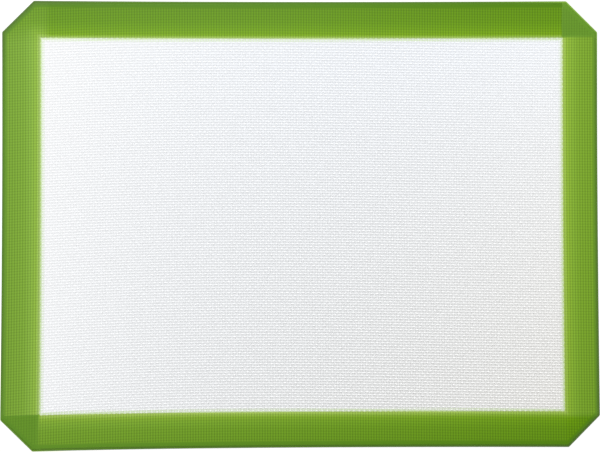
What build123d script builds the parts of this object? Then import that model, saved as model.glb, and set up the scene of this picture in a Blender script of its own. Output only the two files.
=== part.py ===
from build123d import *
import math
import os

# A baking mat: woven glass cloth between two clear silicone coats, cut to a rectangle with its corners off
# and sealed round the cut edge with coloured silicone. Each face has a coloured border, which is laid as two
# L-shaped coats that lap at two opposite corners.
# Millimetres. The origin is the middle of the underside, with +X along the mat and +Z up.

# Outline
mat_length = 400.0  # along X
mat_width = 300.0  # along Y
corner_cut = 20.6  # leg of each 45 degree cut
corner_ease = 1.5  # radius that eases each corner of the outline

# Laminate, from the underside up
lower_coat_thickness = 0.20
cloth_thickness = 0.28
upper_coat_thickness = 0.20
border_thickness = 0.08  # one coat of the border
border_bite = 0.02  # how deep the upper border is pressed into the clear coat

# Border runs, from the outline to the inner edge
left_run_width = 25.6
top_run_width = 24.7
right_run_width = 23.5
bottom_run_width = 24.2
feather_width = 1.5  # a run thins out to nothing over this width at its inner edge

# Sealed edge
end_rim_width = 3.2  # silicone beyond the cloth at the two short ends
side_rim_width = 4.3  # silicone beyond the cloth along the two long sides
corner_rim_width = 3.7  # silicone beyond the cloth at the corner cuts
bead_width = 1.0  # the part of the seal that is full height and stays bare
bead_edge_radius = 0.25

# Heights that follow
cloth_bottom = lower_coat_thickness
cloth_top = cloth_bottom + cloth_thickness
working_face = cloth_top + upper_coat_thickness
border_base = working_face - border_bite
bead_top = border_base + border_thickness
lap_top = bead_top + border_thickness

# Directions on the mat, seen from above
to_left = Vector(-1, 0, 0)
to_right = Vector(1, 0, 0)
to_top = Vector(0, 1, 0)
to_bottom = Vector(0, -1, 0)
upward = Vector(0, 0, 1)


def octagon(end_inset, side_inset, corner_inset):
    """The mat's outline drawn in by one distance at the ends, one along the sides and one at the corner cuts."""
    length = mat_length - 2 * end_inset
    width = mat_width - 2 * side_inset
    cut = corner_cut - end_inset - side_inset + math.sqrt(2) * corner_inset
    rectangle = Rectangle(length, width)
    return chamfer(rectangle.vertices(), length=cut)


def slab(face, bottom, top):
    """A flat layer of the given face between two heights."""
    return Pos(0, 0, bottom) * extrude(face, amount=top - bottom)


def cloth_outline():
    """The cloth and both clear coats are cut together, inside the rim of the seal."""
    return octagon(end_rim_width, side_rim_width, corner_rim_width)


def border_outline():
    """The border stops at the bare bead of the seal."""
    return octagon(bead_width, bead_width, bead_width)


def half_size(direction):
    """From the middle of the mat to its edge in the given direction."""
    return abs(direction.X) * mat_length / 2 + abs(direction.Y) * mat_width / 2


def run_profile(outward, along, run_width):
    """The section of a run at its starting end: a flat strip that feathers out at its inner edge."""
    start = along * -half_size(along)
    edge = start + outward * half_size(outward)
    inner_edge = edge - outward * run_width
    shoulder = inner_edge + outward * feather_width + upward * border_thickness
    edge_top = edge + upward * border_thickness
    return make_face(Polyline(edge, inner_edge, shoulder, edge_top, close=True))


def flat_run(outward, along, run_width):
    """A run that lies flat from end to end of the edge that it follows."""
    path = along * (2 * half_size(along))
    return Solid.extrude(run_profile(outward, along, run_width).face(), path)


def lapping_run(outward, along, run_width, run_below_width):
    """A run that climbs the feathered edge of the run below at its far end, and lies on it from there."""
    level = along * (2 * half_size(along) - run_below_width)
    climb = along * feather_width + upward * border_thickness
    across = along * (run_below_width - feather_width)
    profile = run_profile(outward, along, run_width).face()
    foot = Solid.extrude(profile, level)
    ramp = Solid.extrude(profile.moved(Location(level)), climb)
    lap = Solid.extrude(profile.moved(Location(level + climb)), across)
    return foot + ramp + lap


def trimmed_border(runs, base):
    """Two runs fused to one L-shaped coat, cut to the border's outline and laid at a height."""
    window = slab(border_outline(), 0, lap_top)
    return Pos(0, 0, base) * (runs & window)


def flat_first_coat():
    """Left and top runs, both flat."""
    left = flat_run(to_left, to_bottom, left_run_width)
    top = flat_run(to_top, to_right, top_run_width)
    return left + top


def flat_second_coat():
    """Right and bottom runs, both flat."""
    right = flat_run(to_right, to_top, right_run_width)
    bottom = flat_run(to_bottom, to_left, bottom_run_width)
    return right + bottom


def lapping_first_coat():
    """Left and top runs, which lap onto the bottom and right runs at their far ends."""
    left = lapping_run(to_left, to_bottom, left_run_width, bottom_run_width)
    top = lapping_run(to_top, to_right, top_run_width, right_run_width)
    return left + top


def lapping_second_coat():
    """Right and bottom runs, which lap onto the top and left runs at their far ends."""
    right = lapping_run(to_right, to_top, right_run_width, top_run_width)
    bottom = lapping_run(to_bottom, to_left, bottom_run_width, left_run_width)
    return right + bottom


def make_upper_borders():
    """On the upper face the coats stand proud, and the second one steps up over the first."""
    first = trimmed_border(flat_first_coat(), border_base)
    second = trimmed_border(lapping_second_coat(), border_base)
    return first, second


def make_lower_borders():
    """The underside is cured on a flat plate, so its second coat stays flat and the first is pressed inwards."""
    first = trimmed_border(lapping_first_coat(), 0)
    second = trimmed_border(flat_second_coat(), 0)
    return first, second


def clear_coat(bottom, top, borders):
    """A coat of clear silicone that fills round the two coats of the border on its face."""
    coat = slab(cloth_outline(), bottom, top)
    for border in borders:
        coat -= border
    return coat


def make_edge_seal(lower_borders):
    """A ring round the cut edge: a web between the two borders, and a full-height bead with rounded edges."""
    outline = octagon(0, 0, 0)
    eased_outline = fillet(outline.vertices(), radius=corner_ease)
    blank = slab(eased_outline, 0, bead_top)
    rims = blank.faces().filter_by(Axis.Z).edges()
    ring = fillet(rims, radius=bead_edge_radius)
    ring -= slab(cloth_outline(), 0, bead_top)
    ring -= slab(border_outline(), border_base, bead_top)
    for border in lower_borders:
        ring -= border
    return ring


def build_nodes():
    """Every piece of the mat, by name, from the underside up."""
    lower_first, lower_second = make_lower_borders()
    upper_first, upper_second = make_upper_borders()
    return {
        "lower_border_second": lower_second,
        "lower_border_first": lower_first,
        "lower_coat": clear_coat(0, cloth_bottom, (lower_first, lower_second)),
        "glass_cloth": slab(cloth_outline(), cloth_bottom, cloth_top),
        "upper_coat": clear_coat(cloth_top, working_face, (upper_first, upper_second)),
        "edge_seal": make_edge_seal((lower_first, lower_second)),
        "upper_border_first": upper_first,
        "upper_border_second": upper_second,
    }


os.makedirs("parts", exist_ok=True)
for name, piece in build_nodes().items():
    export_step(piece, f"parts/{name}.step")
    print(name, round(piece.volume, 1), "mm3")
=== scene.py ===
import math

import bmesh
import bpy
import numpy as np
from bpy.props import FloatProperty, FloatVectorProperty, IntProperty, PointerProperty
from bpy.types import Operator, Panel, PropertyGroup
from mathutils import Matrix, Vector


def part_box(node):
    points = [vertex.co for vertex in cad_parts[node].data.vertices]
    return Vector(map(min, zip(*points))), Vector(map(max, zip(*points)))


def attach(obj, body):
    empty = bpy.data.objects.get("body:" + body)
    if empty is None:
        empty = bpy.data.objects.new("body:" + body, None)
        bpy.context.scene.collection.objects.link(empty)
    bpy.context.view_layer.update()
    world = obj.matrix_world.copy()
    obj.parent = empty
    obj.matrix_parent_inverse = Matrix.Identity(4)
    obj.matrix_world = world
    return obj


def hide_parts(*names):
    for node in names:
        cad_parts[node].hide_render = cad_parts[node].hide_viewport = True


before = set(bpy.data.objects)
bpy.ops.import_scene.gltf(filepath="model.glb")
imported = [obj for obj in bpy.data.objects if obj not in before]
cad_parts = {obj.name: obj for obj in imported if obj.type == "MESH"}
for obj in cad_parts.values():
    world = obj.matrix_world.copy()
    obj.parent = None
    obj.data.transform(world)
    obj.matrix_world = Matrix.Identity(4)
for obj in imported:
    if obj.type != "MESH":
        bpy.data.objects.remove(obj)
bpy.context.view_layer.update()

bl_info = {
    "name": "Silicone Baking Mat",
    "version": (1, 0, 0),
    "blender": (4, 5, 0),
    "location": "3D View > Sidebar > Baking Mat",
    "description": "A woven glass baking mat with clear silicone coats, a green border and a sealed edge",
    "category": "Mesh",
}

# The mat lies flat with the middle of its underside at the origin, +X along it and +Z up. Metres throughout.
MM = 0.001

# Faces of the solids that the pieces are fitted to
MAT_LOW, MAT_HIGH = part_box("edge_seal")
CLOTH_LOW, CLOTH_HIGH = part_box("glass_cloth")
WORKING_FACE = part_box("upper_coat")[1].z
BORDER_LOW, BORDER_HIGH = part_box("upper_border_first")
CLOTH_MIDDLE = (CLOTH_LOW.z + CLOTH_HIGH.z) / 2
BORDER_THICKNESS = BORDER_HIGH.z - BORDER_LOW.z
BEAD_WIDTH = MAT_HIGH.x - BORDER_HIGH.x
CORNER_RIM = 3.7 * MM  # silicone beyond the cloth at the corner cuts


def linear(hex_colour):
    """An sRGB hex colour as linear red, green and blue, and an alpha of 1."""
    channels = (int(hex_colour[i:i + 2], 16) / 255 for i in (1, 3, 5))
    return (*(c / 12.92 if c <= 0.04045 else ((c + 0.055) / 1.055) ** 2.4 for c in channels), 1.0)


def colour_of(name, description, hex_colour):
    return FloatVectorProperty(name=name, description=description, default=linear(hex_colour), subtype="COLOR",
                               size=4, min=0.0, max=1.0)


def length_of(name, description, length):
    return FloatProperty(name=name, description=description, default=length, unit="LENGTH", min=0.0, precision=5)


class WeaveSettings(PropertyGroup):
    """The plain weave of the glass cloth."""
    warps: IntProperty(name="Warps", description="Yarns that run across the mat", default=222, min=2)
    wefts: IntProperty(name="Wefts", description="Yarns that run along the mat", default=159, min=2)
    warp_width: length_of("Warp width", "Width of a warp yarn", 1.5 * MM)
    warp_thickness: length_of("Warp thickness", "Thickness of a warp yarn", 0.11 * MM)
    weft_width: length_of("Weft width", "Width of a flattened weft yarn", 1.55 * MM)
    weft_thickness: length_of("Weft thickness", "Thickness of a flattened weft yarn", 0.14 * MM)
    bow: length_of("Weft bow", "How far the wefts arch in the middle of the mat", 3.7 * MM)
    lean: length_of("Weft lean", "How far the wefts fall towards the right end", 2.1 * MM)
    wander: length_of("Weft wander", "How far the wefts turn back near the ends", 2.8 * MM)
    glass: colour_of("Glass yarn", "Colour of the glass yarn", "#FDFEFF")
    # Painted shade: the grey of the yarn deep between its neighbours, partly pooled silicone, and of the coats' inner
    # faces seen through the cloth's gaps
    glass_painted_shade: colour_of("Sunken glass", "Colour of the yarn where it lies deep and silicone pools over it",
                           "#E0E2E4")


class CoatSettings(PropertyGroup):
    """The clear silicone and the green border."""
    clearness: FloatProperty(name="Clearness", default=0.594, min=0.0, max=1.0, subtype="FACTOR",
                             description="How much of the cloth shows through the clear coat")
    # This slope of the clearness is painted light: it paints the weave's shading fainter at the upper left and
    # stronger at the lower right
    painted_shading_slope: FloatProperty(name="Milkiness", default=0.25, min=0.0, max=0.5, subtype="FACTOR",
                             description="How much less shows at the upper left corner, where the coat lies "
                                         "thicker, and how much more at the lower right one")
    # The cool tint along the top and the warm one towards the lower right are painted light: cool light at the top,
    # warm light towards the lower right
    milk: colour_of("Clear silicone", "Colour of the milky clear silicone along the top", "#F0F3F8")
    warm_lit_milk: colour_of("Warm clear silicone", "Its colour where heat has warmed it, towards the lower right corner",
                         "#FCF6EA")
    # Partly pooled silicone and partly painted shade in the hollows between the rows
    pooled_and_shaded: colour_of("Pooled silicone", "What its colour is multiplied by where it pools between two rows",
                      "#CED0D2")
    # Set darker and greyer than the bled pigment alone: painted shade along the border's inner step
    bled_green_and_shade: colour_of("Bled pigment", "Colour of the clear silicone right at the border", "#C4D7AB")
    left_run: length_of("Left run", "Width of the border at the left end", 26.1 * MM)
    top_run: length_of("Top run", "Width of the border along the top", 25.25 * MM)
    right_run: length_of("Right run", "Width of the border at the right end", 23.95 * MM)
    bottom_run: length_of("Bottom run", "Width of the border along the bottom", 24.2 * MM)
    bleed: length_of("Bleed", "How far the border's pigment bleeds into the clear coat", 2.5 * MM)
    feather: length_of("Feather", "Width over which a run thins out at its inner edge", 1.5 * MM)
    draw_in: length_of("Draw-in", "How far the long sides bow inwards between the corners", 0.8 * MM)
    long_corner: length_of("Long corner", "How much too long the lower left corner was cut", 1.4 * MM)
    corner_cut: length_of("Corner cut", "Leg of each 45 degree corner cut", 21.2 * MM)
    corner_ease: length_of("Corner ease", "Radius at the corners of the outline", 1.5 * MM)
    edge_radius: length_of("Edge radius", "Radius along the rims of the sealed edge", 0.3 * MM)
    # Painted shade: the dark line of shadow along the very edge of the mat
    edge_shadow_green: colour_of("Sealed edge", "Colour of the bead at the very edge", "#4A6030")


class StageSettings(PropertyGroup):
    """The camera, the floor and the light."""
    camera_height: length_of("Camera height", "Height of the camera over the mat", 0.7)
    focal_length: FloatProperty(name="Focal length", description="Focal length of the camera, in millimetres",
                                default=62.66, min=1.0)
    sky: FloatProperty(name="Sky", description="Strength of the even light from all round", default=0.655, min=0.0)
    key: FloatProperty(name="Key light", description="Power of the soft lamp at the upper left, in watts",
                       default=19.6, min=0.0)


def settings():
    scene = bpy.context.scene
    return scene.mat_weave, scene.mat_coats, scene.mat_stage


# Nodes and materials

# A Mix node's sockets for colours, by number, because those for its other kinds have the same names
AMOUNT, UNDER, OVER, MIXED = 0, 6, 7, 2


def add_node(tree, kind, inputs=(), **own_settings):
    """Adds a node, sets its own settings, and gives its inputs, in order or by name, a value or what feeds them: a
    socket, or the first output of another node."""
    node = tree.nodes.new(kind)
    for name, value in own_settings.items():
        setattr(node, name, value)
    for key, value in inputs.items() if isinstance(inputs, dict) else enumerate(inputs):
        if isinstance(value, bpy.types.Node):
            value = value.outputs[0]
        if isinstance(value, bpy.types.NodeSocket):
            tree.links.new(value, node.inputs[key])
        else:
            node.inputs[key].default_value = value
    return node


def empty_tree(owner):
    """The node tree of a material or a world, with nothing in it."""
    owner.use_nodes = True
    owner.node_tree.nodes.clear()
    return owner.node_tree


def weave_phase(tree, weave):
    """Turns of the weave across the warps and across the wefts, whole numbers on the middle of a yarn."""
    flat = add_node(tree, "ShaderNodeAttribute", attribute_name="flat_place").outputs["Vector"]
    x, y, _ = add_node(tree, "ShaderNodeSeparateXYZ", (flat,)).outputs
    u = add_node(tree, "ShaderNodeMath", (x, 1 / MAT_HIGH.x), operation="MULTIPLY")
    cubic = add_node(tree, "ShaderNodeMath", (u, weave.wander, -weave.bow), operation="MULTIPLY_ADD")
    square = add_node(tree, "ShaderNodeMath", (u, cubic, -weave.lean), operation="MULTIPLY_ADD")
    arched = add_node(tree, "ShaderNodeMath", (u, square, weave.bow / 3), operation="MULTIPLY_ADD")
    straight = add_node(tree, "ShaderNodeMath", (y, arched), operation="SUBTRACT")
    return [add_node(tree, "ShaderNodeMath", (place, 1 / pitch, (yarns - 1) / 2), operation="MULTIPLY_ADD")
            for place, pitch, yarns in ((x, warp_pitch(weave), weave.warps),
                                        (straight, weft_pitch(weave), weave.wefts))]


def wave_over(tree, turns, angle_per_turn):
    """A wave from 1 to -1 and back over the turns of the weave."""
    angle = add_node(tree, "ShaderNodeMath", (turns, angle_per_turn), operation="MULTIPLY")
    return add_node(tree, "ShaderNodeMath", (angle,), operation="COSINE")


def valley(tree, turns, narrowness):
    """1 in the gap between two yarns and 0 on their middles, as a soft line."""
    wave = wave_over(tree, turns, 2 * math.pi)
    line = add_node(tree, "ShaderNodeMath", (wave, -0.5, 0.5), operation="MULTIPLY_ADD")
    return add_node(tree, "ShaderNodeMath", (line, narrowness), operation="POWER")


def crowns(tree, warp_turns, weft_turns):
    """1 where a weft lies over a warp, -1 where it lies under, as a smooth plain weave."""
    waves = [wave_over(tree, turns, math.pi) for turns in (warp_turns, weft_turns)]
    return add_node(tree, "ShaderNodeMath", waves, operation="MULTIPLY")


def drift(tree, u, v, middle, along, across, twist, ends):
    """A slow change over the mat, for u and v that run from -1 to 1 along and across it: its value in the middle, its
    slopes along and across, how much more it is at the upper right and lower left corners and less at the other two,
    and how much more at both ends."""
    slope = add_node(tree, "ShaderNodeMath", (v, twist, along), operation="MULTIPLY_ADD")
    bend = add_node(tree, "ShaderNodeMath", (u, ends, slope), operation="MULTIPLY_ADD")
    base = add_node(tree, "ShaderNodeMath", (v, across, middle), operation="MULTIPLY_ADD")
    return add_node(tree, "ShaderNodeMath", (u, bend, base), operation="MULTIPLY_ADD")


def glass_yarn_material(weave):
    """Plain woven E-glass roving, soaked in silicone: white, soft and slightly silky, and greyer at its edges and
    where it lies deep between the yarns, partly from clear silicone that pools there and partly as painted shade."""
    material = bpy.data.materials.new("woven glass roving")
    tree = empty_tree(material)
    place = add_node(tree, "ShaderNodeTexCoord").outputs["Object"]
    # Towards the middle plane of the cloth the yarn is painted greyer: painted shade between the yarns, with clear
    # silicone pooled over them
    height = add_node(tree, "ShaderNodeSeparateXYZ", (place,)).outputs["Z"]
    off_middle = add_node(tree, "ShaderNodeMath", (height, CLOTH_MIDDLE), operation="SUBTRACT")
    level = add_node(tree, "ShaderNodeMath", (off_middle,), operation="ABSOLUTE")
    sunk = add_node(tree, "ShaderNodeMath", (level, -1 / (CLOTH_HIGH.z - CLOTH_MIDDLE), 1.0),
                    operation="MULTIPLY_ADD", use_clamp=True)
    depth = add_node(tree, "ShaderNodeMath", (sunk, 1.4), operation="POWER")

    # Single filaments are far too fine to show, so clumps of them are drawn, 1.1 mm across
    clump = MM / 0.9
    filaments = add_node(tree, "ShaderNodeTexNoise", {"Vector": place, "Scale": 1 / clump, "Detail": 1.0})
    uneven = add_node(tree, "ShaderNodeMath", (filaments.outputs["Fac"], 0.2, -0.1), operation="MULTIPLY_ADD")
    greyed = add_node(tree, "ShaderNodeMath", (depth, uneven), operation="ADD", use_clamp=True)
    colour = add_node(tree, "ShaderNodeMix", {AMOUNT: greyed, UNDER: weave.glass, OVER: weave.glass_painted_shade},
                      data_type="RGBA").outputs[MIXED]
    surface = add_node(tree, "ShaderNodeBsdfPrincipled", {"Base Color": colour, "Roughness": 0.5, "IOR": 1.45})
    add_node(tree, "ShaderNodeOutputMaterial", {"Surface": surface})
    return material


def clear_silicone_material(weave, coats):
    """Platinum-cured clear silicone, wiped thin over the cloth: milky, satin, and it follows the weave."""
    material = bpy.data.materials.new("clear silicone coat")
    tree = empty_tree(material)
    outer, bleed = (add_node(tree, "ShaderNodeAttribute", attribute_name=name).outputs["Fac"]
                    for name in ("outer_face", "bleed"))
    warp_turns, weft_turns = weave_phase(tree, weave)
    rows, columns = valley(tree, weft_turns, 1.5), valley(tree, warp_turns, 1.5)
    crown = crowns(tree, warp_turns, weft_turns)

    # The surface rises over the crowns and sinks between the rows
    relief = add_node(tree, "ShaderNodeMath", (crown, 0.15, 0.5), operation="MULTIPLY_ADD")
    height = add_node(tree, "ShaderNodeMath", (rows, -0.6, relief), operation="MULTIPLY_ADD")
    bump = add_node(tree, "ShaderNodeBump", {"Height": height, "Strength": 0.5, "Distance": 0.05 * MM})

    # How clear, warm and pale it is changes slowly over the mat, all of it painted light: the clearness paints the
    # weave's shading fainter at the upper left and stronger at the lower right, the warmth is a painted cast of warm
    # light towards the lower right and cool light along the top, and the paleness is painted light and shade over the
    # mat
    place = add_node(tree, "ShaderNodeTexCoord").outputs["Object"]
    x, y, _ = add_node(tree, "ShaderNodeSeparateXYZ", (place,)).outputs
    u = add_node(tree, "ShaderNodeMath", (x, 1 / MAT_HIGH.x), operation="MULTIPLY")
    v = add_node(tree, "ShaderNodeMath", (y, 1 / MAT_HIGH.y), operation="MULTIPLY")
    slope = coats.painted_shading_slope / 2
    clear = drift(tree, u, v, middle=coats.clearness, along=slope, across=-slope, twist=-0.08, ends=-0.15)
    painted_warm_light = drift(tree, u, v, middle=0.206, along=0.088, across=-0.188, twist=-0.229, ends=0.165)
    painted_light_and_shade = drift(tree, u, v, middle=1.002, along=0.006, across=-0.038, twist=0.056, ends=0.045)

    # It pools between the rows, less between the columns, and a little over the warps, and is darkened there with
    # painted shade
    gaps = add_node(tree, "ShaderNodeMath", (columns, 0.2, rows), operation="MULTIPLY_ADD")
    level = add_node(tree, "ShaderNodeMath", (crown, -0.19, gaps), operation="MULTIPLY_ADD")
    pooled_and_shaded = add_node(tree, "ShaderNodeMath", (level, clear), operation="MULTIPLY", use_clamp=True)

    # The border's pigment bleeds into it, furthest along the gaps
    all_gaps = add_node(tree, "ShaderNodeMath", (rows, columns), operation="ADD")
    ragged = add_node(tree, "ShaderNodeMath", (all_gaps, 0.15), operation="ADD")
    stained = add_node(tree, "ShaderNodeMath", (bleed, ragged), operation="MULTIPLY", use_clamp=True)

    # Less shows through it where it is stained or pooled and shaded, and nothing through its inner face
    unstained = add_node(tree, "ShaderNodeMath", (stained, -0.5, 1.0), operation="MULTIPLY_ADD")
    not_pooled_or_shaded = add_node(tree, "ShaderNodeMath", (pooled_and_shaded, -0.7, 1.0), operation="MULTIPLY_ADD")
    seen_through = clear
    for share in (unstained, not_pooled_or_shaded, outer):
        seen_through = add_node(tree, "ShaderNodeMath", (seen_through, share), operation="MULTIPLY")
    alpha = add_node(tree, "ShaderNodeMath", (1.0, seen_through), operation="SUBTRACT", use_clamp=True)

    tone = add_node(tree, "ShaderNodeMix", {AMOUNT: painted_warm_light, UNDER: coats.milk, OVER: coats.warm_lit_milk},
                    data_type="RGBA").outputs[MIXED]
    milk = add_node(tree, "ShaderNodeVectorMath", {0: tone, "Scale": painted_light_and_shade}, operation="SCALE")
    pooled_and_shaded_milk = add_node(tree, "ShaderNodeMix", {AMOUNT: pooled_and_shaded, UNDER: milk, OVER: coats.pooled_and_shaded},
                        data_type="RGBA", blend_type="MULTIPLY").outputs[MIXED]
    # The bled pigment's colour also holds painted shade along the border's inner step
    greened = add_node(tree, "ShaderNodeMix", {AMOUNT: stained, UNDER: pooled_and_shaded_milk, OVER: coats.bled_green_and_shade},
                       data_type="RGBA").outputs[MIXED]
    # The inner face, seen through the cloth's gaps, gets the yarn's grey of painted shade
    colour = add_node(tree, "ShaderNodeMix", {AMOUNT: outer, UNDER: weave.glass_painted_shade, OVER: greened},
                      data_type="RGBA").outputs[MIXED]
    surface = add_node(tree, "ShaderNodeBsdfPrincipled", {"Base Color": colour, "Roughness": 0.45, "IOR": 1.41,
                                                          "Alpha": alpha, "Normal": bump})
    add_node(tree, "ShaderNodeOutputMaterial", {"Surface": surface})
    return material


# The border's green from its thin inner edge to its full depth, by the share of FULL_REACH that lies between
FULL_REACH = 25 * MM
REACH_GREENS = ((0.0, "#B4CA8C"), (0.016, "#A9C278"), (0.06, "#9CBD60"), (0.13, "#8BB140"), (0.30, "#81AA3E"),
                (0.45, "#7AA336"), (1.0, "#739C30"))


def green_silicone_material(weave, coats):
    """Pigmented silicone printed over the coated cloth: satin, deeper green where its tints darken it or it laps, thin
    and pale at its inner edge, darkened with painted shade towards its outer edge, with the weave showing faintly
    through it everywhere but on the sealed rim."""
    material = bpy.data.materials.new("green silicone border")
    tree = empty_tree(material)
    reach, on_cloth, edge = (add_node(tree, "ShaderNodeAttribute", attribute_name=name).outputs["Fac"]
                             for name in ("reach", "on_cloth", "edge"))
    tint = add_node(tree, "ShaderNodeAttribute", attribute_name="tint").outputs["Color"]
    green = add_node(tree, "ShaderNodeValToRGB", (reach,))
    stops = green.color_ramp.elements
    while len(stops) < len(REACH_GREENS):
        stops.new(1.0)
    for stop, (position, hex_colour) in zip(stops, REACH_GREENS):
        stop.position = position
        stop.color = linear(hex_colour)
    tinted = add_node(tree, "ShaderNodeMix", {AMOUNT: 1.0, UNDER: green, OVER: tint}, data_type="RGBA",
                      blend_type="MULTIPLY").outputs[MIXED]

    # The weave under it shows as a faint darker grid, which is also a little sunk
    warp_turns, weft_turns = weave_phase(tree, weave)
    columns, rows = valley(tree, warp_turns, 2.0), valley(tree, weft_turns, 2.0)
    gaps = add_node(tree, "ShaderNodeMath", (columns, 1.8, rows), operation="MULTIPLY_ADD")
    grid = add_node(tree, "ShaderNodeMath", (gaps, on_cloth), operation="MULTIPLY")
    shade = add_node(tree, "ShaderNodeMath", (grid, -0.147, 0.957), operation="MULTIPLY_ADD")
    woven = add_node(tree, "ShaderNodeVectorMath", {0: tinted, "Scale": shade}, operation="SCALE")
    # Towards the sealed edge the green goes over to the edge colour: painted shade
    edged = add_node(tree, "ShaderNodeMix", {AMOUNT: edge, UNDER: woven, OVER: coats.edge_shadow_green},
                     data_type="RGBA").outputs[MIXED]
    dip = add_node(tree, "ShaderNodeMath", (grid, -1.0), operation="MULTIPLY")
    bump = add_node(tree, "ShaderNodeBump", {"Height": dip, "Strength": 0.4, "Distance": 0.03 * MM})
    surface = add_node(tree, "ShaderNodeBsdfPrincipled", {"Base Color": edged, "Roughness": 0.42, "IOR": 1.41,
                                                          "Specular IOR Level": 0.14, "Normal": bump})
    add_node(tree, "ShaderNodeOutputMaterial", {"Surface": surface})
    return material


# Shapes

def rise(distance, width):
    """0 up to a line, 1 from a width beyond it, and an even slope between."""
    return np.clip(distance / width, 0, 1)


def warp_pitch(weave):
    return (CLOTH_HIGH.x - CLOTH_LOW.x) / weave.warps


def weft_pitch(weave):
    return (CLOTH_HIGH.y - CLOTH_LOW.y) / weave.wefts


def arch(x, weave):
    """How far the wefts are off their straight line at x."""
    u = x / MAT_HIGH.x
    return weave.bow / 3 + u * (-weave.lean + u * (-weave.bow + u * weave.wander))


def corner_limit(corner_inset, coats):
    """The largest |x| + |y| inside the corner cuts, for an outline drawn in by corner_inset there."""
    return MAT_HIGH.x + MAT_HIGH.y - coats.corner_cut - math.sqrt(2) * corner_inset


def depth_inside(points, high, corner_inset, coats):
    """How far points lie inside an outline with half sizes high.x and high.y and its corner cuts drawn in."""
    x, y = np.abs(points[:, 0]), np.abs(points[:, 1])
    from_cut = (corner_limit(corner_inset, coats) - x - y) / math.sqrt(2)
    return np.minimum(np.minimum(high.x - x, high.y - y), from_cut)


def near_corner(points, side_x, side_y):
    """1 at one corner cut, falling to 0 along the two sides that meet there."""
    towards_corner = side_x * points[:, 0] / MAT_HIGH.x + side_y * points[:, 1] / MAT_HIGH.y
    return rise(towards_corner - 1.6, 0.3)


def shaded_side(points):
    """How dark the sealed edge is: 0.6 along most of it, and 1 at the lower right and upper left corners."""
    towards_lower_right = points[:, 0] / MAT_HIGH.x - points[:, 1] / MAT_HIGH.y
    return 0.6 + 0.35 * np.clip(towards_lower_right - 0.6, 0, 1.15) + 0.4 * near_corner(points, -1, 1)


def coordinates(mesh):
    points = np.zeros(len(mesh.vertices) * 3, np.float32)
    mesh.vertices.foreach_get("co", points)
    return points.reshape(-1, 3).astype(float)


def move_to(mesh, points):
    mesh.vertices.foreach_set("co", np.ascontiguousarray(points, np.float32).ravel())


def set_attribute(mesh, name, values):
    attribute = mesh.attributes.new(name, "FLOAT", "POINT")
    attribute.data.foreach_set("value", np.ascontiguousarray(values, np.float32))


def set_tint(mesh, *layers):
    """What the green is multiplied by at each point, from tints and how much of each there is."""
    tint = np.ones((len(mesh.vertices), 4))
    for colour, amount in layers:
        tint[:, :3] *= np.clip(1 + np.multiply.outer(amount, np.subtract(colour, 1)), 0, 1)
    attribute = mesh.attributes.new("tint", "FLOAT_COLOR", "POINT")
    attribute.data.foreach_set("color", tint.astype(np.float32).ravel())


def draw_in(mesh, coats):
    """Draws the mat in a little between its corners, as a coated cloth does when it cures, and pulls out the
    corners that were cut a touch long, the lower left one most. Each point keeps its place on the flat mat as an
    attribute, which the weave in the materials follows."""
    points = coordinates(mesh)
    flat = mesh.attributes.new("flat_place", "FLOAT_VECTOR", "POINT")
    flat.data.foreach_set("vector", points.astype(np.float32).ravel())
    u, v = points[:, 0] / MAT_HIGH.x, points[:, 1] / MAT_HIGH.y
    lower_left = rise(1 - u, 2) ** 6 * rise(1 - v, 2) ** 2
    lower_right = rise(1 + u, 2) ** 1.5 * rise(1 - v, 2) ** 2
    upper_right = rise(1 + u, 2) ** 2 * rise(1 + v, 2) ** 4
    points[:, 0] -= coats.draw_in * 0.6 * u * (1 - v * v)
    points[:, 0] += coats.long_corner * (0.4 * upper_right - 0.7 * lower_left)
    points[:, 1] -= coats.draw_in * v * (1 - u * u) + coats.long_corner * (lower_left + 0.35 * lower_right)
    move_to(mesh, points)


def map_from_above(mesh):
    """A UV map that looks straight down on the piece, so that a bake keeps the weave's scale."""
    points = coordinates(mesh)
    corners = np.zeros(len(mesh.loops), np.int32)
    mesh.loops.foreach_get("vertex_index", corners)
    low, high = points.min(0), points.max(0)
    span = max(high[0] - low[0], high[1] - low[1])
    layer = mesh.uv_layers.new(name="OFBake")
    layer.data.foreach_set("uv", ((points[corners, :2] - low[:2]) / span).astype(np.float32).ravel())


def new_piece(name, mesh, material, node):
    """Links a finished mesh as a piece of the mat that stands for that solid, or for a part of it."""
    mesh.materials.clear()
    mesh.materials.append(material)
    draw_in(mesh, settings()[1])
    mesh.update()
    piece = bpy.data.objects.new(name, mesh)
    bpy.context.scene.collection.objects.link(piece)
    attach(piece, "root")
    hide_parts(node)
    return piece


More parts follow.
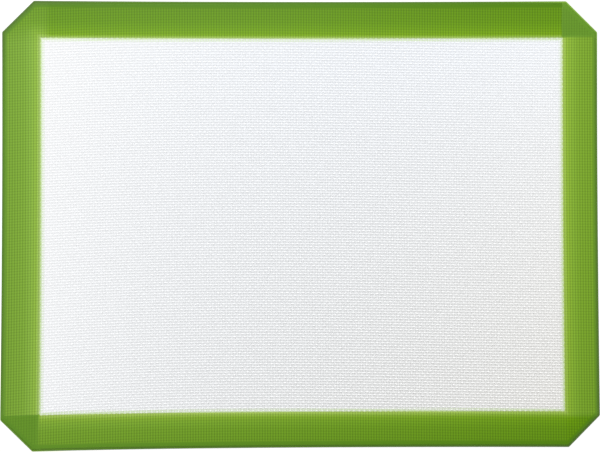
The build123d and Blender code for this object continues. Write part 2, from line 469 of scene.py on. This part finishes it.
def yarn_tree():
    """Geometry Nodes that lay a band of parallel yarns along X, each one waving over and under its crossings."""
    tree = bpy.data.node_groups.new("Band of yarns", "GeometryNodeTree")
    kinds = {"Yarns": "Int", "First yarn": "Float", "Pitch": "Float", "Crossings": "Int", "Crossing pitch": "Float",
             "Width": "Float", "Thickness": "Float", "Crimp": "Float", "Turn": "Float", "Phase": "Float",
             "Corner limit": "Float", "Height": "Float", "Material": "Material"}
    for name, kind in kinds.items():
        tree.interface.new_socket(name, in_out="INPUT", socket_type=f"NodeSocket{kind}")
    tree.interface.new_socket("Geometry", in_out="OUTPUT", socket_type="NodeSocketGeometry")
    given = add_node(tree, "NodeGroupInput").outputs

    # Straight yarns, each with a point at every crossing and one between
    samples = add_node(tree, "ShaderNodeMath", (given["Crossings"], 2.0, 1.0), operation="MULTIPLY_ADD")
    length = add_node(tree, "ShaderNodeMath", (given["Crossings"], given["Crossing pitch"]), operation="MULTIPLY")
    half_length = add_node(tree, "ShaderNodeMath", (length, 0.5), operation="MULTIPLY")
    start_x = add_node(tree, "ShaderNodeMath", (half_length, -1.0), operation="MULTIPLY")
    start = add_node(tree, "ShaderNodeCombineXYZ", (start_x,))
    end = add_node(tree, "ShaderNodeCombineXYZ", (half_length,))
    line = add_node(tree, "GeometryNodeCurvePrimitiveLine", {"Start": start, "End": end})
    yarn = add_node(tree, "GeometryNodeResampleCurve", {"Curve": line, "Count": samples})
    first_y = add_node(tree, "ShaderNodeMath", (given["First yarn"], given["Pitch"]), operation="MULTIPLY")
    first = add_node(tree, "ShaderNodeCombineXYZ", {"Y": first_y})
    step = add_node(tree, "ShaderNodeCombineXYZ", {"Y": given["Pitch"]})
    rows = add_node(tree, "GeometryNodeMeshLine", {"Count": given["Yarns"], "Start Location": first, "Offset": step})
    laid = add_node(tree, "GeometryNodeInstanceOnPoints", {"Points": rows, "Instance": yarn})
    yarns = add_node(tree, "GeometryNodeRealizeInstances", (laid,))

    # Each waves up at one crossing and down at the next, where its turns are whole, and its neighbours the other way
    x, y, _ = add_node(tree, "ShaderNodeSeparateXYZ", (add_node(tree, "GeometryNodeInputPosition"),)).outputs
    from_start = add_node(tree, "ShaderNodeMath", (x, half_length), operation="ADD")
    along = add_node(tree, "ShaderNodeMath", (from_start, given["Crossing pitch"]), operation="DIVIDE")
    across = add_node(tree, "ShaderNodeMath", (y, given["Pitch"]), operation="DIVIDE")
    both = add_node(tree, "ShaderNodeMath", (along, across), operation="ADD")
    turns = add_node(tree, "ShaderNodeMath", (both, given["Phase"]), operation="ADD")
    wave = wave_over(tree, turns, math.pi)
    lift = add_node(tree, "ShaderNodeMath", (wave, given["Crimp"]), operation="MULTIPLY")
    z = add_node(tree, "ShaderNodeMath", (lift, given["Height"]), operation="ADD")
    raised = add_node(tree, "ShaderNodeCombineXYZ", (x, y, z))
    waved = add_node(tree, "GeometryNodeSetPosition", {"Geometry": yarns, "Position": raised})

    # They are cut off at the corner cuts
    off_x = add_node(tree, "ShaderNodeMath", (x,), operation="ABSOLUTE")
    off_y = add_node(tree, "ShaderNodeMath", (y,), operation="ABSOLUTE")
    off_middle = add_node(tree, "ShaderNodeMath", (off_x, off_y), operation="ADD")
    beyond = add_node(tree, "FunctionNodeCompare", (off_middle, given["Corner limit"]), operation="GREATER_THAN")
    trimmed = add_node(tree, "GeometryNodeDeleteGeometry", (waved, beyond))
    upright = add_node(tree, "GeometryNodeSetCurveNormal", (trimmed,), mode="Z_UP")

    # A flattened section with four sides runs along each of them
    round_section = add_node(tree, "GeometryNodeCurvePrimitiveCircle", {"Resolution": 4, "Radius": 0.5})
    size = add_node(tree, "ShaderNodeCombineXYZ", (given["Width"], given["Thickness"], 1.0))
    section = add_node(tree, "GeometryNodeTransform", {"Geometry": round_section, "Scale": size})
    body = add_node(tree, "GeometryNodeCurveToMesh", {"Curve": upright, "Profile Curve": section, "Fill Caps": True})
    smooth = add_node(tree, "GeometryNodeSetShadeSmooth", {"Geometry": body})
    rotation = add_node(tree, "ShaderNodeCombineXYZ", {"Z": given["Turn"]})
    turned = add_node(tree, "GeometryNodeTransform", {"Geometry": smooth, "Rotation": rotation})
    whole = add_node(tree, "GeometryNodeRealizeInstances", (turned,))
    finished = add_node(tree, "GeometryNodeSetMaterial", {"Geometry": whole, "Material": given["Material"]})
    add_node(tree, "NodeGroupOutput", (finished,))
    return tree


def run_tree(name, tree, values):
    """The tree's result as a plain mesh."""
    carrier = bpy.data.objects.new(name, bpy.data.meshes.new("empty"))
    bpy.context.scene.collection.objects.link(carrier)
    modifier = carrier.modifiers.new("Nodes", "NODES")
    modifier.node_group = tree
    identifiers = {item.name: item.identifier for item in tree.interface.items_tree if item.in_out == "INPUT"}
    for socket_name, value in values.items():
        modifier[identifiers[socket_name]] = value
    depsgraph = bpy.context.evaluated_depsgraph_get()
    mesh = bpy.data.meshes.new_from_object(carrier.evaluated_get(depsgraph), preserve_all_data_layers=True,
                                           depsgraph=depsgraph)
    mesh.name = name
    bpy.data.objects.remove(carrier)
    return mesh


class BAKINGMAT_OT_weave_cloth(Operator):
    """Weave the glass cloth from its warps and wefts, cut to the mat's outline"""
    bl_idname = "bakingmat.weave_cloth"
    bl_label = "Weave the cloth"

    BANDS = 3  # pieces that the wefts are shared over, and the warps too

    def execute(self, context):
        weave, coats, _ = settings()
        tree = yarn_tree()
        material = glass_yarn_material(weave)
        wefts = {"Pitch": weft_pitch(weave), "Crossings": weave.warps, "Crossing pitch": warp_pitch(weave),
                 "Width": weave.weft_width, "Thickness": weave.weft_thickness, "Turn": 0.0,
                 "Crimp": (CLOTH_HIGH.z - CLOTH_LOW.z - weave.weft_thickness) / 2}
        warps = {"Pitch": warp_pitch(weave), "Crossings": weave.wefts, "Crossing pitch": weft_pitch(weave),
                 "Width": weave.warp_width, "Thickness": weave.warp_thickness, "Turn": math.pi / 2,
                 "Crimp": -weave.warp_thickness / 2}
        for name, yarns, sizes in (("cloth_wefts", weave.wefts, wefts), ("cloth_warps", weave.warps, warps)):
            sizes |= {"Phase": yarns / 2 - 1, "Corner limit": corner_limit(CORNER_RIM, coats),
                      "Height": CLOTH_MIDDLE, "Material": material}
            for band in range(self.BANDS):
                first = band * yarns // self.BANDS
                count = (band + 1) * yarns // self.BANDS - first
                mesh = run_tree(f"{name}_{band + 1}", tree,
                                {**sizes, "Yarns": count, "First yarn": first - (yarns - 1) / 2})
                self.lay(mesh, material, sizes["Width"] / sizes["Pitch"], weave, coats)
        return {"FINISHED"}

    def lay(self, mesh, material, cover, weave, coats):
        """Arches a band with the wefts, except under the border's outer part, and adds it to the cloth. Cover, the
        share of its flat size that its yarns fill, is not used."""
        points = coordinates(mesh)
        free = rise(CLOTH_HIGH.y - np.abs(points[:, 1]), coats.top_run - 4 * MM)
        points[:, 1] += arch(points[:, 0], weave) * free
        move_to(mesh, points)
        map_from_above(mesh)
        piece = new_piece(mesh.name, mesh, material, "glass_cloth")


def octagon_points(inset, coats, radius, steps=4):
    """The mat's outline drawn in, with eased corners, anticlockwise from the right end's lower corner."""
    half_length = MAT_HIGH.x - inset
    half_width = MAT_HIGH.y - inset
    limit = corner_limit(inset, coats)
    end_y, side_x = limit - half_length, limit - half_width
    sharp = [(half_length, -end_y), (half_length, end_y), (side_x, half_width), (-side_x, half_width),
             (-half_length, end_y), (-half_length, -end_y), (-side_x, -half_width), (side_x, -half_width)]
    points = []
    for i, corner in enumerate(sharp):
        before = np.subtract(sharp[i - 1], corner)
        after = np.subtract(sharp[(i + 1) % 8], corner)
        before, after = before / np.linalg.norm(before), after / np.linalg.norm(after)
        bend = math.pi - math.acos(float(np.clip(before @ after, -1, 1)))
        tangent = radius * math.tan(bend / 2)
        inward = (before + after) / np.linalg.norm(before + after)
        centre = np.array(corner) + inward * radius / math.cos(bend / 2)
        start = np.array(corner) + before * tangent - centre
        for step in range(steps + 1):
            angle = bend * step / steps
            turn = np.array([[math.cos(angle), -math.sin(angle)], [math.sin(angle), math.cos(angle)]])
            points.append(centre + turn @ start)
    side_steps = 24  # points along each side, so that it can draw in
    outline = []
    for i, point in enumerate(points):
        span = np.array(points[(i + 1) % len(points)]) - point
        straight_steps = 1 if (i + 1) % (steps + 1) else side_steps
        outline += [point + span * step / straight_steps for step in range(straight_steps)]
    return np.array(outline)


def plate(name, xs, ys, kept, corner_insets, coats):
    """A closed plate on a grid of lines, with its underside at z 0 and its top at z 1. It is trimmed at the corner
    cuts by the first inset and has an edge loop at each further one."""
    columns = len(xs)
    rows, cols = np.nonzero(kept)
    corner = rows * columns + cols
    faces = np.stack([corner, corner + 1, corner + columns + 1, corner + columns], 1)
    used, faces = np.unique(faces, return_inverse=True)
    grid_x, grid_y = np.meshgrid(xs, ys)
    points = np.stack([grid_x.ravel()[used], grid_y.ravel()[used], np.zeros(len(used))], 1)
    mesh = bpy.data.meshes.new(name)
    mesh.from_pydata(points.tolist(), [], faces.reshape(-1, 4).tolist())
    bm = bmesh.new()
    bm.from_mesh(mesh)
    for inset in corner_insets:
        limit = corner_limit(inset, coats)
        for sx in (-1, 1):
            for sy in (-1, 1):
                bmesh.ops.bisect_plane(bm, geom=bm.verts[:] + bm.edges[:] + bm.faces[:],
                                       plane_co=(sx * limit, 0, 0), plane_no=(sx, sy, 0),
                                       clear_outer=inset == corner_insets[0])
    walls = bmesh.ops.extrude_face_region(bm, geom=bm.faces[:])
    for vert in (v for v in walls["geom"] if isinstance(v, bmesh.types.BMVert)):
        vert.co.z = 1.0
    bmesh.ops.recalc_face_normals(bm, faces=bm.faces)
    bm.to_mesh(mesh)
    bm.free()
    return mesh


def window_of(coats):
    """Left, right, top and bottom of the clear field inside the border."""
    return (MAT_LOW.x + coats.left_run, MAT_HIGH.x - coats.right_run,
            MAT_HIGH.y - coats.top_run, MAT_LOW.y + coats.bottom_run)


class BAKINGMAT_OT_pour_clear_coats(Operator):
    """Lay the two clear silicone coats, which meet through the openings of the cloth"""
    bl_idname = "bakingmat.pour_clear_coats"
    bl_label = "Pour the clear coats"

    def execute(self, context):
        weave, coats, _ = settings()
        material = clear_silicone_material(weave, coats)
        left, right, top, bottom = window_of(coats)
        xs = self.lines(CLOTH_LOW.x, left, right, CLOTH_HIGH.x, coats)
        ys = self.lines(CLOTH_LOW.y, bottom, top, CLOTH_HIGH.y, coats)
        everywhere = np.ones((len(ys) - 1, len(xs) - 1), bool)
        skin = 0.012 * MM  # keeps the lower coat off the floor and, twice, off the upper one
        for name, node, low, high in (("lower_clear_coat", "lower_coat", skin, CLOTH_MIDDLE - 2 * skin),
                                      ("upper_clear_coat", "upper_coat", CLOTH_MIDDLE, WORKING_FACE)):
            mesh = plate(name, xs, ys, everywhere, (CORNER_RIM,), coats)
            points = coordinates(mesh)
            upper = points[:, 2] > 0.5
            points[:, 2] = np.where(upper, high, low)
            move_to(mesh, points)
            x, y = points[:, 0], points[:, 1]
            depth = np.minimum(np.minimum(x - left, right - x), np.minimum(y - bottom, top - y))
            set_attribute(mesh, "outer_face", upper == (node == "upper_coat"))
            set_attribute(mesh, "bleed", 1 - rise(depth, coats.bleed))
            map_from_above(mesh)
            piece = new_piece(name, mesh, material, node)
        return {"FINISHED"}

    def lines(self, low, window_low, window_high, high, coats):
        """Lines across a coat, close together where pigment from the border bleeds into it."""
        into = [0.0, coats.bleed / 4, coats.bleed / 2, coats.bleed]
        middle = np.linspace(window_low + 2 * coats.bleed, window_high - 2 * coats.bleed, 30)
        return ([low] + [window_low + depth for depth in into] + middle.tolist()
                + [window_high - depth for depth in into[::-1]] + [high])


def run_lines(edge, width, inward):
    """Lines across a run, from its outer edge to its inner one, closer together where its colour changes."""
    from_outer_edge = [0.0, 1.2, 2.0, 2.8, 3.8, 7.0, 11.0, 15.0]
    from_inner_edge = [5.0, 3.6, 2.6, 1.8, 1.1, 0.6, 0.25, 0.0]
    return ([edge + inward * depth * MM for depth in from_outer_edge]
            + [edge + inward * (width - depth * MM) for depth in from_inner_edge])


def weave_lines(low, high, pitch, yarns):
    """A line on each yarn's middle and in each gap, between low and high."""
    margin = 0.3 * MM
    lines = (np.arange(2 * yarns + 1) - yarns) * pitch / 2
    return [line for line in lines if low + margin < line < high - margin]


# What the green is multiplied by, in linear colour: where a run is a deeper green, where its pigment is yellower,
# where two coats lap, and on the rim, where no cloth lies under it
DEEPER_GREEN_TINT = (0.62, 0.75, 0.08)
YELLOW_TINT = (1.0, 1.0, 0.7)
LAP_TINT = (0.64, 0.75, 0.56)
RIM_TINT = (0.64, 0.73, 0.72)

THIN_EDGE = 0.004 * MM  # thickness of a coat at its feathered edge
KNUCKLED = 2.6 * MM  # how far from its inner edge a run is knuckled by the yarns
CORNER_LOOPS = [BEAD_WIDTH + depth * MM for depth in (0.0, 1.2, 2.2, 3.2)]  # edge loops along the corner cuts


class BAKINGMAT_OT_lay_borders(Operator):
    """Print the green border on both faces, as two L-shaped coats that lap at two corners"""
    bl_idname = "bakingmat.lay_borders"
    bl_label = "Lay the borders"

    def execute(self, context):
        weave, coats, _ = settings()
        material = green_silicone_material(weave, coats)
        window = left, right, top, bottom = window_of(coats)
        edge_x, edge_y = BORDER_HIGH.x, BORDER_HIGH.y
        xs = np.array(run_lines(-edge_x, coats.left_run - BEAD_WIDTH, 1)
                      + weave_lines(left, right, warp_pitch(weave), weave.warps)
                      + run_lines(edge_x, coats.right_run - BEAD_WIDTH, -1)[::-1])
        ys = np.array(run_lines(-edge_y, coats.bottom_run - BEAD_WIDTH, 1)
                      + weave_lines(bottom, top, weft_pitch(weave), weave.wefts)
                      + run_lines(edge_y, coats.top_run - BEAD_WIDTH, -1)[::-1])
        middle_x, middle_y = np.meshgrid((xs[1:] + xs[:-1]) / 2, (ys[1:] + ys[:-1]) / 2)
        kept = {"first": (middle_x < left) | (middle_y > top), "second": (middle_x > right) | (middle_y < bottom)}
        for face in ("upper", "lower"):
            for coat in ("first", "second"):
                name = f"green_border_{face}_{coat}"
                mesh = plate(name, xs, ys, kept[coat], CORNER_LOOPS, coats)
                self.shape(mesh, face, coat, window, weave, coats)
                mesh.shade_smooth()
                map_from_above(mesh)
                new_piece(name, mesh, material, f"{face}_border_{coat}")
        return {"FINISHED"}

    def shape(self, mesh, face, coat, window, weave, coats):
        """Gives the coat its thickness, its feathered and knuckled inner edge, its laps and what its colour reads."""
        left, right, top, bottom = window
        points = coordinates(mesh)
        x, y, upper = points[:, 0], points[:, 1], points[:, 2] > 0.5
        into_first, into_second = np.maximum(left - x, y - top), np.maximum(x - right, bottom - y)
        reach, below = (into_first, into_second) if coat == "first" else (into_second, into_first)
        reach = np.clip(reach, 0, None)
        lap = rise(below, coats.feather)
        climbs = (face, coat) in (("upper", "second"), ("lower", "first"))
        base = BORDER_LOW.z if face == "upper" else 0.0
        lift = lap * (BORDER_THICKNESS + THIN_EDGE) * climbs
        thickness = THIN_EDGE + (BORDER_THICKNESS - THIN_EDGE) * rise(reach, coats.feather)
        points[:, 2] = base + lift + np.where(upper, thickness, 0)
        self.colour(mesh, points, coat, window, reach, below, lap, coats)
        self.knuckle(points, coat, window, reach, weave)
        move_to(mesh, points)

    def colour(self, mesh, points, coat, window, reach, below, lap, coats):
        """Sets what the green reads at each point: how far from its inner edge it lies, whether cloth lies under it,
        how dark it is towards the sealed edge, which is painted shade, and its tints."""
        left, right, top, bottom = window
        x, y = points[:, 0], points[:, 1]
        upper_left, upper_right = near_corner(points, -1, 1), near_corner(points, 1, 1)
        if coat == "first":
            # The top run is a deeper green, which fades round the upper left corner to the left run
            on_top_run = rise(x - left, 6 * MM)
            along_top = (0.7 + 0.3 * on_top_run) * rise(y - top, 2.5 * MM)
            in_corner = 0.7 * rise(y - top + 6 * MM, 16 * MM)
            deeper_green = np.maximum(in_corner + (along_top - in_corner) * on_top_run, 0.06 * (1 + y / MAT_HIGH.y))
            yellow = np.zeros(len(points))
        else:
            # The bottom run is a deeper green, more so towards the lower right corner, and the right run is less deep
            # and yellower
            along_bottom = rise(bottom - y, 5 * MM)
            deeper_green = np.maximum(along_bottom * (0.7 + 0.35 * x / MAT_HIGH.x), 0.14 - 0.14 * y / MAT_HIGH.y)
            deeper_green += 0.12 * along_bottom * rise(x - right, 5 * MM)
            yellow = 1 - along_bottom

        # On the other coat there is no pale inner edge, and the weave shows less
        over_green = np.maximum(reach, 8 * np.clip(below, 0, 3 * MM))
        on_cloth = np.clip(depth_inside(points, CLOTH_HIGH, CORNER_RIM, coats) / MM + 0.5, 0, 1)
        set_attribute(mesh, "reach", over_green / FULL_REACH)
        set_attribute(mesh, "on_cloth", on_cloth * (1 - 0.4 * lap))
        set_tint(mesh, (DEEPER_GREEN_TINT, deeper_green * (1 - lap)), (YELLOW_TINT, yellow * (1 - lap)), (LAP_TINT, lap),
                 (RIM_TINT, (1 - on_cloth) * (1 - (0.5 + 0.4 * upper_right) * lap)))

        # The darkening towards the sealed edge is painted shade, widest at the upper left cut and along the right end
        from_edge = depth_inside(points, MAT_HIGH, 0, coats)
        shade_width = (1.2 + 1.4 * upper_left + 0.8 * rise(x - right, 10 * MM)) * MM
        shade = (0.5 + 0.2 * upper_left) * shaded_side(points) * (1 - rise(from_edge - BEAD_WIDTH, shade_width))
        set_attribute(mesh, "edge", shade * (1 - (0.7 + 0.3 * upper_right) * lap))

    def knuckle(self, points, coat, window, reach, weave):
        """Lets the inner edge run out between the yarns, a little further in the gaps than on the crowns."""
        left, right, top, bottom = window
        x, y = points[:, 0], points[:, 1]
        warp_turns = x / warp_pitch(weave) + (weave.warps - 1) / 2
        weft_turns = (y - arch(x, weave)) / weft_pitch(weave) + (weave.wefts - 1) / 2
        crown = np.cos(np.pi * warp_turns) * np.cos(np.pi * weft_turns)
        near = 1 - rise(reach, KNUCKLED)
        own_edges = {"first": ((0, left, -1, weft_turns), (1, top, 1, warp_turns)),
                     "second": ((0, right, 1, weft_turns), (1, bottom, -1, warp_turns))}[coat]
        for axis, line, outward, turns in own_edges:
            at_edge = 1 - rise(np.abs(points[:, axis] - line), KNUCKLED)
            knuckle = 0.22 * MM * crown - 0.12 * MM * np.cos(2 * np.pi * turns)
            points[:, axis] += outward * knuckle * at_edge * near


class BAKINGMAT_OT_seal_edge(Operator):
    """Run the sealing bead round the cut edge"""
    bl_idname = "bakingmat.seal_edge"
    bl_label = "Seal the edge"

    def execute(self, context):
        weave, coats, _ = settings()
        section = self.section(coats.edge_radius)
        rings = [octagon_points(inset, coats, max(coats.corner_ease - inset, 0.2 * MM)) for inset, _ in section]
        count = len(rings[0])
        points = [(x, y, height) for ring, (_, height) in zip(rings, section) for x, y in ring]
        faces = []
        for i in range(len(rings)):
            ring, following = i * count, (i + 1) % len(rings) * count
            faces += [(ring + j, ring + (j + 1) % count, following + (j + 1) % count, following + j)
                      for j in range(count)]
        mesh = bpy.data.meshes.new("edge_bead")
        mesh.from_pydata(points, [], faces)
        bm = bmesh.new()
        bm.from_mesh(mesh)
        bmesh.ops.recalc_face_normals(bm, faces=bm.faces)
        bm.to_mesh(mesh)
        bm.free()
        self.colour(mesh, np.array(points), np.repeat([inset for inset, _ in section], count))
        mesh.shade_smooth()
        mesh.set_sharp_from_angle(angle=math.radians(50))
        new_piece("edge_bead", mesh, green_silicone_material(weave, coats), "edge_seal")
        return {"FINISHED"}

    def section(self, radius):
        """The bead's section, as insets and heights: up round its rims and back through a web under the border."""
        top, web, clearance = MAT_HIGH.z, 3.0 * MM, 0.01 * MM
        web_top, web_bottom = BORDER_LOW.z - clearance, BORDER_THICKNESS + clearance
        angles = [math.pi / 2 * step / 4 for step in range(5)]
        lower_rim = [(radius * (1 - math.sin(angle)), radius * (1 - math.cos(angle))) for angle in angles]
        upper_rim = [(inset, top - height) for inset, height in reversed(lower_rim)]
        return [(BEAD_WIDTH, 0.0), *lower_rim, *upper_rim, (BEAD_WIDTH, top), (BEAD_WIDTH, web_top), (web, web_top),
                (web, web_bottom), (BEAD_WIDTH, web_bottom)]

    def colour(self, mesh, points, insets):
        """Makes the bead deep green, dark at the very edge with painted shade, and paler at the laps, most of all the
        upper right one.
        """
        upper_right, lower_left = near_corner(points, 1, 1), near_corner(points, -1, -1)
        at_lap = np.maximum(upper_right, 0.6 * lower_left)
        # The darkening at the very edge is painted shade
        edge = np.clip(1 - 0.5 * insets / BEAD_WIDTH, 0, 1) * shaded_side(points)
        set_attribute(mesh, "reach", 1 - 0.85 * upper_right - 0.4 * lower_left)
        set_attribute(mesh, "on_cloth", np.zeros(len(points)))
        set_tint(mesh, (DEEPER_GREEN_TINT, 0.5 * (1 - at_lap)), (RIM_TINT, 1 - 0.7 * at_lap))
        set_attribute(mesh, "edge", np.clip(edge, 0, 1) * (1 - 0.8 * at_lap))


class BAKINGMAT_OT_set_stage(Operator):
    """Set the camera, the white floor and the soft light"""
    bl_idname = "bakingmat.set_stage"
    bl_label = "Set the stage"

    CAMERA_OFFSET = (-13.8 * MM, -14.7 * MM)  # from over the middle of the mat
    CAMERA_TILT = (1.08, -1.04, -0.198)  # degrees about X, Y and Z
    FLOOR_REACH = 6.0
    LAMP_SIZE = 0.7
    LAMP_PLACE = (-0.22, 0.85, 1.3)

    def execute(self, context):
        _, _, stage = settings()
        scene = context.scene
        scene.view_settings.view_transform = "Standard"

        camera_data = bpy.data.cameras.new("camera")
        camera_data.lens = stage.focal_length
        camera_data.sensor_width = 36.0
        camera_data.clip_start = 0.01
        camera_data.clip_end = 50.0
        camera = bpy.data.objects.new("camera", camera_data)
        camera.location = (*self.CAMERA_OFFSET, stage.camera_height)
        camera.rotation_euler = [math.radians(angle) for angle in self.CAMERA_TILT]
        scene.collection.objects.link(camera)
        scene.camera = camera

        floor_mesh = bpy.data.meshes.new("floor")
        sides = ((-1, -1), (1, -1), (1, 1), (-1, 1))
        floor_mesh.from_pydata([(self.FLOOR_REACH * x, self.FLOOR_REACH * y, 0) for x, y in sides], [],
                               [(0, 1, 2, 3)])
        floor = bpy.data.objects.new("floor", floor_mesh)
        floor.location.z = -0.02 * MM
        scene.collection.objects.link(floor)
        floor_mesh.materials.append(self.floor_material())

        world = bpy.data.worlds.new("soft white room")
        scene.world = world
        tree = empty_tree(world)
        strength = add_node(tree, "ShaderNodeMix", {"Factor": self.seen_directly(tree), "A": stage.sky, "B": 1.0},
                            data_type="FLOAT")
        background = add_node(tree, "ShaderNodeBackground", {"Color": linear("#FFFFFF"), "Strength": strength})
        add_node(tree, "ShaderNodeOutputWorld", {"Surface": background})

        lamp_data = bpy.data.lights.new("key softbox", "AREA")
        lamp_data.shape = "RECTANGLE"
        lamp_data.size, lamp_data.size_y = self.LAMP_SIZE, self.LAMP_SIZE
        lamp_data.energy = stage.key
        lamp = bpy.data.objects.new("key softbox", lamp_data)
        lamp.location = self.LAMP_PLACE
        lamp.rotation_euler = lamp.location.to_track_quat("Z", "Y").to_euler()
        scene.collection.objects.link(lamp)
        return {"FINISHED"}

    def seen_directly(self, tree):
        """1 for what the camera sees, also by reflection or through glass, and 0 for the light on the mat."""
        path = add_node(tree, "ShaderNodeLightPath").outputs
        either = add_node(tree, "ShaderNodeMath", (path["Is Camera Ray"], path["Is Glossy Ray"]), operation="MAXIMUM")
        return add_node(tree, "ShaderNodeMath", (either, path["Is Transmission Ray"]), operation="MAXIMUM")

    def floor_material(self):
        """Matt white paper: seen as plain white out to where the lamp no longer reaches, with the mat's shadow."""
        material = bpy.data.materials.new("white paper")
        tree = empty_tree(material)
        paper = add_node(tree, "ShaderNodeBsdfDiffuse", {"Color": (0.8, 0.8, 0.8, 1.0)})
        shaded = add_node(tree, "ShaderNodeBsdfDiffuse", {"Color": (0.34, 0.34, 0.34, 1.0)})
        place = add_node(tree, "ShaderNodeTexCoord").outputs["Object"]
        away = add_node(tree, "ShaderNodeVectorMath", (place,), operation="LENGTH").outputs["Value"]
        strength = add_node(tree, "ShaderNodeMapRange", {"Value": away, "From Min": 0.3, "From Max": 1.6,
                                                         "To Min": 0.68, "To Max": 1.0})
        glow = add_node(tree, "ShaderNodeEmission", {"Color": (1.0, 1.0, 1.0, 1.0), "Strength": strength})
        white = add_node(tree, "ShaderNodeAddShader", (shaded, glow))
        surface = add_node(tree, "ShaderNodeMixShader", (self.seen_directly(tree), paper, white))
        add_node(tree, "ShaderNodeOutputMaterial", {"Surface": surface})
        return material


class BAKINGMAT_PT_parts(Panel):
    """Lists the steps that make the mat"""
    bl_idname = "BAKINGMAT_PT_parts"
    bl_label = "Silicone Baking Mat"
    bl_space_type = "VIEW_3D"
    bl_region_type = "UI"
    bl_category = "Baking Mat"

    def draw(self, context):
        for operator in OPERATORS:
            self.layout.operator(operator.bl_idname)
        for group in settings():
            box = self.layout.box()
            for name in group.__annotations__:
                box.prop(group, name)


OPERATORS = (BAKINGMAT_OT_weave_cloth, BAKINGMAT_OT_pour_clear_coats, BAKINGMAT_OT_lay_borders,
             BAKINGMAT_OT_seal_edge, BAKINGMAT_OT_set_stage)
CLASSES = (WeaveSettings, CoatSettings, StageSettings, *OPERATORS, BAKINGMAT_PT_parts)


def register():
    for cls in CLASSES:
        bpy.utils.register_class(cls)
    bpy.types.Scene.mat_weave = PointerProperty(type=WeaveSettings)
    bpy.types.Scene.mat_coats = PointerProperty(type=CoatSettings)
    bpy.types.Scene.mat_stage = PointerProperty(type=StageSettings)


def unregister():
    for name in ("mat_weave", "mat_coats", "mat_stage"):
        delattr(bpy.types.Scene, name)
    for cls in reversed(CLASSES):
        bpy.utils.unregister_class(cls)


def main():
    register()
    bpy.ops.bakingmat.pour_clear_coats()
    bpy.ops.bakingmat.weave_cloth()
    bpy.ops.bakingmat.lay_borders()
    bpy.ops.bakingmat.seal_edge()
    bpy.ops.bakingmat.set_stage()


if __name__ == "__main__":
    main()
